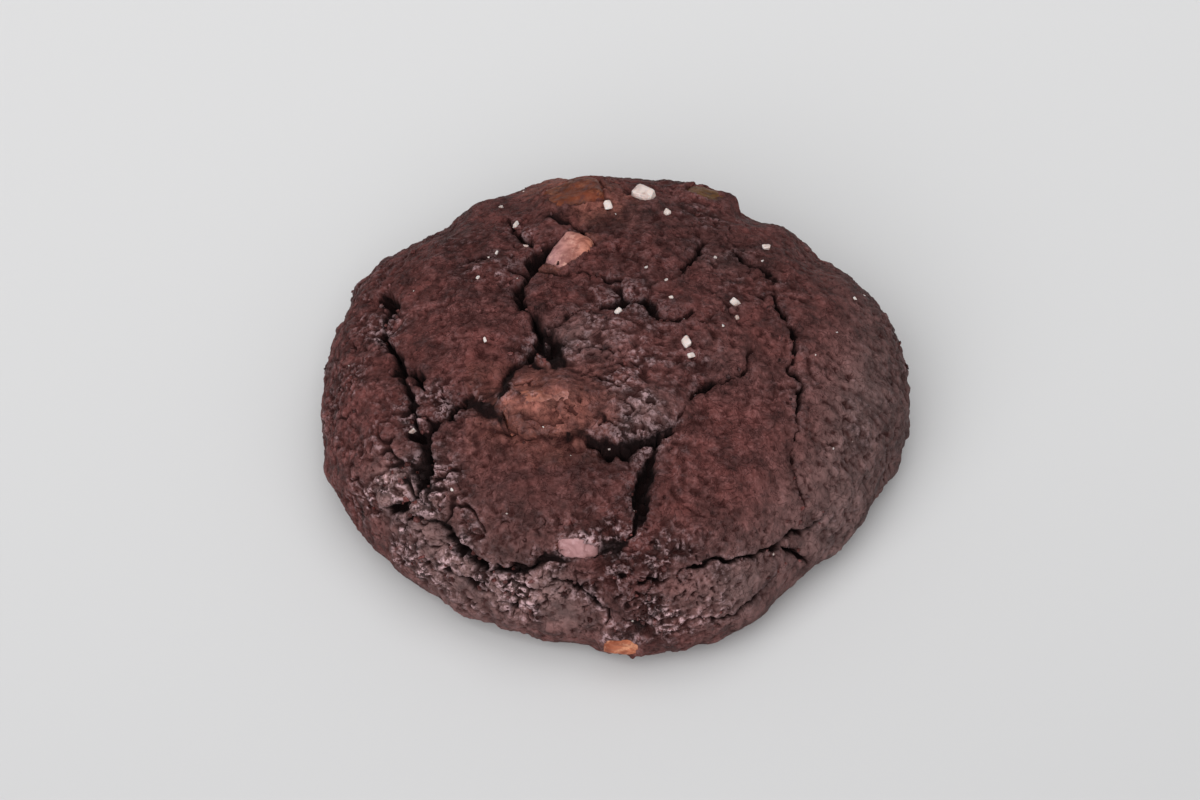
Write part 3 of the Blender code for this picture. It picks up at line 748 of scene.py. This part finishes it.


# Chunks: photo pixel of the bare face, its half length and half width in pixels, turn in degrees, how
# square and how ragged its border is, mm that the dough sinks under it, how steeply the dough slopes away
# from it, mm of clods on that dough, how far the dough takes its colour (in half widths), how clean of
# dough it is, how much of a crack's painted shade stays on dough that covers it, and its colours: dark
# and light at its left and its right end, and the haze on it
chunks = {
    "chunk_back": {"at": (577, 193), "bare": (38, 16), "turn": -12, "square": 2.6, "ragged": 0.6,
                   "sunk": 0.35, "slope": 0.50, "clods": 0.5, "smear": 0.35, "clean": 0.54, "shade": 0.2,
                   "left": ((0.062, 0.016, 0.007), (0.17, 0.047, 0.021)),
                   "right": ((0.050, 0.010, 0.005), (0.17, 0.037, 0.017)), "haze": (0.28, 0.095, 0.050)},
    "chunk_right": {"at": (703, 192), "bare": (17, 5), "turn": -14, "square": 2.6, "ragged": 0.4,
                    "sunk": 0.20, "slope": 0.90, "clods": 0.1, "smear": 0.20, "clean": 0.58, "shade": 0.2,
                    "left": ((0.055, 0.020, 0.008), (0.12, 0.055, 0.018)),
                    "right": ((0.070, 0.030, 0.010), (0.20, 0.095, 0.032)), "haze": (0.17, 0.09, 0.06)},
    "chunk_crack": {"at": (567, 251), "bare": (32, 11), "turn": 35, "square": 5.0, "ragged": 0.10,
                    "sunk": 0.6, "slope": 3.0, "clods": 0.0, "smear": 0.10, "clean": 0.64, "shade": 1.0,
                    "left": ((0.20, 0.090, 0.092), (0.38, 0.200, 0.210)),
                    "right": ((0.24, 0.070, 0.040), (0.66, 0.260, 0.165)), "haze": (0.70, 0.38, 0.31)},
    "chunk_middle": {"at": (540, 410), "bare": (36, 21), "turn": -8, "square": 2.6, "ragged": 0.7,
                     "sunk": 0.35, "slope": 0.40, "clods": 0.25, "smear": 0.80, "clean": 0.53, "shade": 0.2,
                     "left": ((0.17, 0.050, 0.030), (0.38, 0.125, 0.075)),
                     "right": ((0.11, 0.040, 0.033), (0.26, 0.110, 0.095)), "haze": (0.42, 0.22, 0.20)},
    "chunk_front": {"at": (571, 544), "bare": (14, 5.5), "turn": 4, "square": 3.2, "ragged": 0.15,
                    "sunk": 0.55, "slope": 0.60, "clods": 0.3, "smear": 0.10, "clean": 0.68, "shade": 0.2,
                    "left": ((0.24, 0.115, 0.115), (0.42, 0.225, 0.230)),
                    "right": ((0.21, 0.100, 0.095), (0.38, 0.205, 0.205)), "haze": (0.52, 0.32, 0.33)},
    "chunk_rim": {"at": (622, 648), "bare": (16, 7), "turn": 0, "square": 3.0, "ragged": 0.25,
                  "sunk": 0.5, "slope": 0.70, "clods": 0.5, "smear": 0.15, "clean": 0.66, "shade": 0.2,
                  "left": ((0.16, 0.034, 0.015), (0.34, 0.085, 0.038)),
                  "right": ((0.34, 0.100, 0.050), (0.70, 0.270, 0.150)), "haze": (0.78, 0.40, 0.24)},
}


def paint(mesh, **values):  # keeps numbers on the dough's points for the material to read
    for name, numbers in values.items():
        mesh.attributes.new(name, "FLOAT", "POINT").data.foreach_set("value", numbers.astype(np.float32))


def makeDough():
    ball, mesh, directions = evenBall("brownie_dough")
    points = bareDough(directions)
    movePoints(mesh, points)
    normals = meshNormals(mesh)
    pairs = np.zeros(len(mesh.edges) * 2, int)
    mesh.edges.foreach_get("vertices", pairs)
    pairs = pairs.reshape(-1, 2)
    resting = smooth(points[:, 2], 0, dough["resting"] * mm)

    height = np.zeros(len(points))
    for seed, (high, wide) in enumerate(dough["swells"], start=1):
        height += high * mm * cloud(points, wide, 2, seed)
    low, high = dough["rim"]
    rim = 1 - smooth(points[:, 2], low * mm, high * mm)
    rough = dough["rimCrags"]
    craggyRim = np.abs(cloud(points, rough["wide"], 2, 5)) - rough["level"]
    height += (rough["onTop"] + rough["high"] * rim) * mm * craggyRim
    swelled = points + normals * (height * resting)[:, None]
    low, top = (np.array(corner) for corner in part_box("cookie"))
    shift = (low + top - swelled.min(0) - swelled.max(0)) / 2 * (1, 1, 0)  # onto the middle of its solid
    points, swelled = points + shift, swelled + shift
    find = spotFinder(swelled, normals)
    for u, v, high, spread in lumps:
        height += high * mm * patch(points, find(u, v), spread)
    print("dough: swells and lumps")

    surface = points + normals * (height * resting)[:, None]
    find = spotFinder(surface, normals)
    groove, lift, edge, lean = crackRelief(surface, normals, find)
    crag, mask, split = cragMask(surface, edge, find)
    print("dough: cracks")
    broad = height + lift
    crags, gaps = cragRelief(surface, mask)
    height = broad - groove + crags - cragSpread["splitDepth"] * mm * split
    side = addGrain(height, surface, mask)
    print("dough: crags and grain")

    height, smear, loose, dark = lapOverChunks(surface, normals, pairs, height - broad)
    height += broad
    final = points + normals * (height * resting)[:, None] + lean * (resting * loose)[:, None]
    underside = allPits(points, dough["undersidePits"]) * mm * smooth(-normals[:, 2], 0.9, 1.0)
    final[:, 2] += np.where(points[:, 2] <= 0, underside, 0)
    final[:, 2] = np.maximum(final[:, 2], 0)
    movePoints(mesh, final)
    walls = np.flatnonzero(groove > crackShape["wallFrom"] * mm)
    most, over = crackShape["crumble"]
    stray = np.minimum(most * mm, crackShape["crumbleShare"] * groove[walls])
    stray = stray * cloud(final[walls], over, 3, 75)
    final[walls] += meshNormals(mesh)[walls] * stray[:, None]
    movePoints(mesh, final)

    steps, full = marks["crest"]
    crest = np.clip((height - neighbourMean(height, pairs, steps)) / (full * mm), -1, 1)
    # hollow: where cracks, and the gaps and splits between flakes, get painted shade
    deep, gapShare, splitShare = marks["hollow"]
    hollow = np.clip((groove / (deep * mm) + gapShare * gaps + splitShare * split) * dark, 0, 1)
    tone, grey = 1 - marks["cragTone"] * crag, marks["foldGrey"] * side
    # listed patches brighten, darken and grey the crust; those just under the raised lump paint its shadow
    for u, v, reach, brighter, greyer in tones:
        near = patch(surface, find(u, v), reach)
        tone += brighter * near
        grey += greyer * near
    for u, v, reach, strength in smears:
        smear = np.maximum(smear, strength * patch(surface, find(u, v), reach))
    paint(mesh, hollow=hollow, crest=crest, crag=crag, grey=np.clip(grey, 0, 1), smear=smear, tone=tone)
    fewer = ball.modifiers.new("fewer", "DECIMATE")
    fewer.ratio = dough["triangles"] / (2 * len(mesh.polygons))
    mesh = applied(ball)
    final = meshPoints(mesh)
    final[:, 2] = np.maximum(final[:, 2], 0)
    movePoints(mesh, final)
    mesh.shade_smooth()
    print("dough:", len(mesh.polygons), "faces")
    mesh.materials.append(doughMaterial())
    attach(ball, "root")
    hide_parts("cookie")
    return ball


crust = {
    # colours
    "dark": (0.031, 0.0054, 0.0044),
    "middle": (0.088, 0.0275, 0.0250),
    "light": (0.200, 0.088, 0.084),
    "red": (0.112, 0.031, 0.027),
    "grey": (0.106, 0.065, 0.062),
    # pale pinkish grey of the crests: partly dust, partly a painted highlight
    "dustAndGlintColour": (0.62, 0.410, 0.430),
    # near black: painted shade in the cracks and in the gaps and splits between flakes
    "shadeInCracks": (0.006, 0.0018, 0.0018),
    "chocolate": ((0.11, 0.033, 0.025), (0.25, 0.092, 0.070)),
    # how strongly each comes through; specks, lines, creases and cracks are painted shade, and the dust on
    # crests is partly painted highlight
    "mottleShare": 0.55,
    "redness": 0.45,
    "greyness": 0.85,
    "specks": 0.55,
    "lines": 0.25,
    "melted": 0.85,
    "creases": 0.85,
    "dustAndGlint": 1.25,
    "cracks": 0.97,
    # surface
    "roughness": (0.50, 0.82),
    "cragGloss": 0.30,   # taken off the roughness
    "crackMatt": 0.5,    # added to it
    "shine": 0.15,
    "bump": 1.0,
    "bumpDepth": 0.38,   # mm
    "pocks": 0.25,       # share of the bump in specks and lines
}
crustSizes = {  # mm
    "mottle": 1.0, "grain": 0.40, "red": 9.0, "specks": 1.0, "lines": 2.0, "clouds": 2.8, "blotches": 3.2,
    "dustAndGlint": 5.0, "flakes": 0.6,
}


def doughMaterial():
    made, tree, shader, where = newMaterial("bakedBrownie")
    read = {name: put(tree, "Attribute", attribute_name=name).outputs["Fac"]
            for name in ("hollow", "crest", "crag", "grey", "smear", "tone")}
    size = crustSizes
    mottle = noiseNode(tree, where, size["mottle"], 4, 0.7)
    grainy = noiseNode(tree, where, size["grain"], 3, 0.7)
    both = calculate(tree, "ADD", times(tree, mottle, crust["mottleShare"]),
                     times(tree, grainy, 1 - crust["mottleShare"]))
    specks = ramp(tree, noiseNode(tree, where, size["specks"], 3, 0.6, 0.8), (0.31, 1.0), (0.40, 0.0))
    ridges = calculate(tree, "SUBTRACT", noiseNode(tree, where, size["lines"], 3, 0.6, 0.5), 0.5)
    lines = ramp(tree, calculate(tree, "ABSOLUTE", ridges), (0.0, 1.0), (0.03, 0.0))

    # the plain crust, redder, greyer and darker in places, with painted shade in its small pits and fissure
    # lines
    colour = ramp(tree, both, (0.33, crust["dark"]), (0.50, crust["middle"]), (0.695, crust["light"]))
    redder = ramp(tree, noiseNode(tree, where, size["red"], 3), (0.42, 0.0), (0.62, 1.0))
    colour = blendColour(tree, times(tree, redder, crust["redness"]), colour, crust["red"])
    colour = blendColour(tree, times(tree, read["grey"], crust["greyness"]), colour, crust["grey"])
    # painted shade: the small pits and fissure lines that the bump dents are darkened too
    colour = blendColour(tree, times(tree, specks, crust["specks"]), colour, crust["dark"])
    colour = blendColour(tree, times(tree, lines, crust["lines"]), colour, crust["dark"])
    # the tone darkens crags and carries the listed patches, among them the painted shadow under the raised
    # lump
    bright = put(tree, "CombineColor", {"Red": read["tone"], "Green": read["tone"], "Blue": read["tone"]})
    colour = blendColour(tree, 1.0, colour, bright.outputs["Color"], "MULTIPLY")
    melted = ramp(tree, mottle, (0.38, crust["chocolate"][0]), (0.62, crust["chocolate"][1]))
    colour = blendColour(tree, times(tree, read["smear"], crust["melted"]), colour, melted)
    clouds = ramp(tree, noiseNode(tree, where, size["clouds"], 3, 0.6), (0.36, 0.60), (0.62, 1.40))
    colour = blendColour(tree, 1.0, colour, clouds, "MULTIPLY")
    blotches = ramp(tree, noiseNode(tree, where, size["blotches"], 3, 0.65, 0.6), (0.42, 0.34), (0.58, 1.50))
    colour = blendColour(tree, read["crag"], colour, blotches, "MULTIPLY")

    # painted shade in the creases, pale dust with a painted highlight on the crests of the crags, and painted
    # shade in the cracks
    creases = calculate(tree, "MAXIMUM", times(tree, read["crest"], -1.0), 0.0)
    colour = blendColour(tree, times(tree, creases, crust["creases"]), colour, crust["dark"])
    # the crests of the crags get pale dust that is partly a painted highlight
    dustAndGlint = times(tree, calculate(tree, "MAXIMUM", read["crest"], 0.0), read["crag"])
    flaky = ramp(tree, noiseNode(tree, where, size["flakes"], 3, 0.7), (0.44, 0.0), (0.58, 1.0))
    dustAndGlint = times(tree, dustAndGlint, flaky)
    patchy = ramp(tree, noiseNode(tree, where, size["dustAndGlint"], 3, 0.6), (0.40, 0.35), (0.60, 1.0))
    dustAndGlint = times(tree, dustAndGlint, patchy)
    dustAndGlint = times(tree, dustAndGlint, times(tree, read["tone"], crust["dustAndGlint"]), clamp=True)
    colour = blendColour(tree, dustAndGlint, colour, crust["dustAndGlintColour"])
    # painted shade: the cracks, gaps and splits turn near black
    colour = blendColour(tree, times(tree, read["hollow"], crust["cracks"]), colour, crust["shadeInCracks"])
    tree.links.new(colour, shader.inputs["Base Color"])

    low, high = crust["roughness"]
    dull = ramp(tree, mottle, (0.35, low), (0.65, high))
    dull = calculate(tree, "SUBTRACT", dull, times(tree, read["crag"], crust["cragGloss"]))
    dull = calculate(tree, "ADD", dull, times(tree, read["hollow"], crust["crackMatt"]), clamp=True)
    tree.links.new(dull, shader.inputs["Roughness"])
    shader.inputs["Specular IOR Level"].default_value = crust["shine"]
    pocks = times(tree, calculate(tree, "ADD", specks, lines), crust["pocks"])
    addBump(tree, shader, calculate(tree, "SUBTRACT", both, pocks), crust["bump"], crust["bumpDepth"])
    return made


chocolate = {
    "cuts": 3,               # of each edge of the solid
    "round": 0.7,            # how far the cuts bulge
    "soften": 0.3,           # how far each point moves to the middle of those round it
    "sizes": {"streaks": 2.2, "grain": 0.5, "haze": 1.3, "film": 0.9},  # mm
    "haze": 0.7,             # how strongly the haze comes through
    "film": 0.85,            # and the film of dough
    "roughness": (0.38, 0.60),
    "shine": 0.18,
    "bump": (0.35, 0.2),     # strength, mm
    "relief": ((0.20, 2.4, 3, 81), (0.08, 0.8, 2, 82)),  # mm high, mm wide, octaves, seed
}


def chunkMaterial(name, chunk):
    made, tree, shader, where = newMaterial("chocolate_" + name)
    size = chocolate["sizes"]
    streak = noiseNode(tree, where, size["streaks"], 4, 0.6, 0.6)
    low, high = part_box(name)
    across = put(tree, "MapRange", {"Value": put(tree, "SeparateXYZ", {"Vector": where}).outputs["X"],
                                    "From Min": low[0], "From Max": high[0]}).outputs["Result"]
    left, right = (ramp(tree, streak, (0.36, dark), (0.62, light))
                   for dark, light in (chunk["left"], chunk["right"]))
    colour = blendColour(tree, across, left, right)
    haze = ramp(tree, noiseNode(tree, where, size["haze"], 4, 0.7), (0.52, 0.0), (0.68, 1.0))
    colour = blendColour(tree, times(tree, haze, chocolate["haze"]), colour, chunk["haze"])
    film = noiseNode(tree, where, size["film"], 3, 0.7)
    film = ramp(tree, film, (chunk["clean"], 0.0), (chunk["clean"] + 0.1, chocolate["film"]))
    colour = blendColour(tree, film, colour, crust["middle"])
    tree.links.new(colour, shader.inputs["Base Color"])
    fine = noiseNode(tree, where, size["grain"], 3)
    low, high = chocolate["roughness"]
    tree.links.new(ramp(tree, fine, (0.3, low), (0.7, high)), shader.inputs["Roughness"])
    shader.inputs["Specular IOR Level"].default_value = chocolate["shine"]
    addBump(tree, shader, fine, *chocolate["bump"])
    return made


def makeChunk(name, chunk):  # the solid's own form, made finer and roughened
    bm = bmesh.new()
    bm.from_mesh(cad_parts[name].data)
    bmesh.ops.remove_doubles(bm, verts=bm.verts[:], dist=1e-6)
    bmesh.ops.subdivide_edges(bm, edges=bm.edges[:], cuts=chocolate["cuts"], use_grid_fill=True,
                              smooth=chocolate["round"])
    bmesh.ops.smooth_vert(bm, verts=bm.verts[:], factor=chocolate["soften"])
    bm.normal_update()
    points = np.array([v.co for v in bm.verts])
    for v, high in zip(bm.verts, clouds(points, chocolate["relief"])):
        v.co += v.normal * float(high) * mm
    made = newObject(name + "_bare", bm)
    made.data.shade_smooth()
    made.data.materials.append(chunkMaterial(name, chunk))
    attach(made, "root")
    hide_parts(name)
    return made


salt = {
    "flakes": (  # photo pixel and mm across
        (641, 195, 2.8), (609, 203, 1.35), (667, 211, 0.9), (686, 343, 1.35), (691, 356, 0.9),
        (734, 303, 1.0), (738, 317, 0.7), (617, 310, 0.8), (672, 295, 0.6), (665, 277, 0.5),
        (514, 223, 0.9), (500, 206, 0.6), (498, 253, 0.6), (478, 278, 0.55), (766, 247, 1.0),
        (485, 338, 0.6), (412, 430, 0.8), (451, 490, 0.5), (646, 267, 0.5), (715, 255, 0.45),
        (855, 297, 0.5), (724, 325, 0.5), (527, 246, 0.7)),
    "grains": 26,
    "grainSize": (0.12, 0.28),
    "lowest": 9,             # mm up where grains start
    "steepest": 0.3,         # how far up the crust faces there at least
    "turned": (0.9, 0.5),    # most radians of spin and of tilt
    "askew": 0.26,           # how far a corner strays, in sizes
    "rounding": 0.25,        # in sizes
    "knocks": 0.03,          # how uneven the rounded corners are, in sizes
    "proud": 0.15,           # how far the middle stands over the dough, in sizes
    "depths": ((0.60, 0.9), (0.45, 0.7)),  # least and most depth and height, in sizes
    "colours": ((0.56, 0.41, 0.37), (0.88, 0.75, 0.70)),
    "roughness": (0.18, 0.45),
    "cloudy": 2.2,           # mm
    "grain": 0.7,            # mm
    "bump": (0.3, 0.15),     # strength, mm
    "clear": 0.25,
    "milky": 0.4,
    "milkyReach": (0.8, 0.6, 0.5),  # mm
}


def saltMaterial():
    made, tree, shader, where = newMaterial("coarseSalt")
    cloudy = noiseNode(tree, where, salt["cloudy"], 2)
    dark, light = salt["colours"]
    low, high = salt["roughness"]
    tree.links.new(ramp(tree, cloudy, (0.36, dark), (0.56, light)), shader.inputs["Base Color"])
    tree.links.new(ramp(tree, cloudy, (0.3, low), (0.7, high)), shader.inputs["Roughness"])
    shader.inputs["Transmission Weight"].default_value = salt["clear"]
    shader.inputs["Subsurface Weight"].default_value = salt["milky"]
    shader.inputs["Subsurface Radius"].default_value = [reach * mm for reach in salt["milkyReach"]]
    shader.inputs["Subsurface Scale"].default_value = 1.0
    addBump(tree, shader, noiseNode(tree, where, salt["grain"], 2), *salt["bump"])
    return made


def nudge(draw, most):
    return Vector([draw.uniform(-most, most) for _ in range(3)])


def crystal(bm, place, out, size, draw, rounded):
    made = bmesh.ops.create_cube(bm, size=1)["verts"]
    for v in made:
        v.co += nudge(draw, salt["askew"])
    if rounded:
        edges = list({e for v in made for e in v.link_edges})
        cut = bmesh.ops.bevel(bm, geom=edges, offset=salt["rounding"], segments=3, profile=0.5,
                              affect="EDGES", material=-1)
        bm.verts.index_update()
        made = sorted({v for v in cut["verts"] + made if v.is_valid}, key=lambda v: v.index)
        for v in made:
            v.co += nudge(draw, salt["knocks"])
    upright = Vector(out).to_track_quat("Z", "Y").to_matrix().to_4x4()
    spun, tilted = salt["turned"]
    spin = Matrix.Rotation(draw.uniform(-spun, spun), 4, "Z")
    tip = Matrix.Rotation(draw.uniform(-tilted, tilted), 4, "X")
    stretch = Matrix.Diagonal((1, *(draw.uniform(least, most) for least, most in salt["depths"]), 1))
    sizing = Matrix.Scale(size * mm, 4)
    seat = Matrix.Translation(Vector(place) + Vector(out) * salt["proud"] * size * mm)
    bmesh.ops.transform(bm, matrix=seat @ upright @ spin @ tip @ stretch @ sizing, verts=made)


def makeSalt(body):
    points, normals = meshPoints(body.data), meshNormals(body.data)
    find = spotFinder(points, normals)
    draw = random.Random(7)
    bm = bmesh.new()
    for u, v, size in salt["flakes"]:
        spot = find(u, v)
        crystal(bm, points[spot], normals[spot], size, draw, True)
    flakes = newObject("salt_flakes", bm)
    bm = bmesh.new()
    upper = np.flatnonzero((points[:, 2] > salt["lowest"] * mm) & (normals[:, 2] > salt["steepest"]))
    for _ in range(salt["grains"]):
        spot = upper[draw.randrange(len(upper))]
        crystal(bm, points[spot], normals[spot], draw.uniform(*salt["grainSize"]), draw, False)
    grains = newObject("salt_grains", bm)
    for piece in (flakes, grains):
        piece.data.materials.append(saltMaterial())
        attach(piece, "root")
    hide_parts("cookie")


crumbs = {
    "count": 420,
    "size": (0.30, 1.10),    # mm
    "sunk": 0.38,            # share of the size
    "cragsFrom": 0.25,       # how craggy the crust is where crumbs start
    "inCracks": 0.9,         # how likely they are on a crack's wall
    "wall": (0.45, 0.35),    # how hollow a wall is, give or take
    "above": (7, 11),        # mm up where they start and where there are most
    "ragged": 0.13,          # how far a corner strays, in sizes
    "depths": ((0.6, 1), (0.45, 0.9)),  # least and most depth and height, in sizes
    "shine": 0.3,            # most dust and painted highlight on a crumb, or painted shade where it is negative
    "tone": (0.7, 1.0),
}


def makeCrumbs(body):
    mesh = body.data
    points, normals = meshPoints(mesh), meshNormals(mesh)
    read = {}
    for name in ("crag", "hollow"):
        read[name] = np.zeros(len(points), np.float32)
        mesh.attributes[name].data.foreach_get("value", read[name])
    middle, around = crumbs["wall"]
    likely = np.clip(read["crag"] - crumbs["cragsFrom"], 0, 1)
    likely = likely + crumbs["inCracks"] * (np.abs(read["hollow"] - middle) < around)
    low, high = crumbs["above"]
    likely = likely * smooth(points[:, 2], low * mm, high * mm)
    draw = random.Random(11)
    bm = bmesh.new()
    crest, crag, tone = (bm.verts.layers.float.new(name) for name in ("crest", "crag", "tone"))
    small, large = crumbs["size"]
    for spot in draw.choices(range(len(points)), weights=likely.tolist(), k=crumbs["count"]):
        size = (small + (large - small) * draw.random() ** 2) * mm
        proud = Vector(normals[spot]) * size * (0.5 - crumbs["sunk"])
        seat = Matrix.Translation(Vector(points[spot]) + proud)
        turned = Matrix.Rotation(draw.uniform(0, math.tau), 4, nudge(draw, 1))
        stretch = Matrix.Diagonal((1, *(draw.uniform(least, most) for least, most in crumbs["depths"]), 1))
        lie = seat @ turned @ stretch
        made = bmesh.ops.create_icosphere(bm, subdivisions=1, radius=size / 2, matrix=lie)
        shine, bright = draw.uniform(-crumbs["shine"], crumbs["shine"]), draw.uniform(*crumbs["tone"])
        for v in made["verts"]:
            v.co += nudge(draw, crumbs["ragged"]) * size
            v[crest], v[crag], v[tone] = shine, 1, bright
    made = newObject("loose_crumbs", bm)
    made.data.materials.append(bpy.data.materials["bakedBrownie"])
    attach(made, "root")
    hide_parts("cookie")


bareChunks = {name: makeChunk(name, chunk) for name, chunk in chunks.items()}
print("chunks made")
body = makeDough()
makeCrumbs(body)
makeSalt(body)
print("salt scattered")
